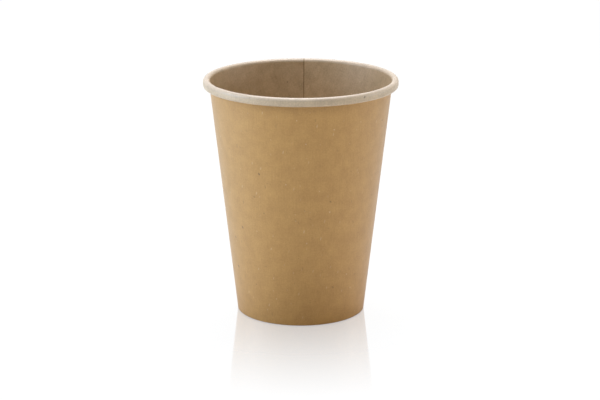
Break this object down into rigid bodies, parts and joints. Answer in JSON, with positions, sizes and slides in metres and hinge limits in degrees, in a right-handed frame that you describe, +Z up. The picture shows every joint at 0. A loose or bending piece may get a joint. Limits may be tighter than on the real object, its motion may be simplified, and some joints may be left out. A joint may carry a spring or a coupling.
{
  "type": "paper coffee cup",
  "caption": "Tapered paper cup for hot drinks, with a rolled rim, a lapped side seam and a recessed base, brown outside and grey-beige inside.",
  "frame": {"origin": "centre of the ring that the cup stands on, at the level of the table", "axes": "+Z up along the cup's axis towards the mouth; +Y towards the side seam; +X completes the right hand"},
  "size_m": [0.09, 0.09, 0.1104],
  "materials": {
    "kraft_board": "matte",
    "bamboo_board": "matte"
  },
  "bodies": {
    "root": {"sidewall": "kraft_board", "base_disc": "bamboo_board"}
  },
  "joints": []
}
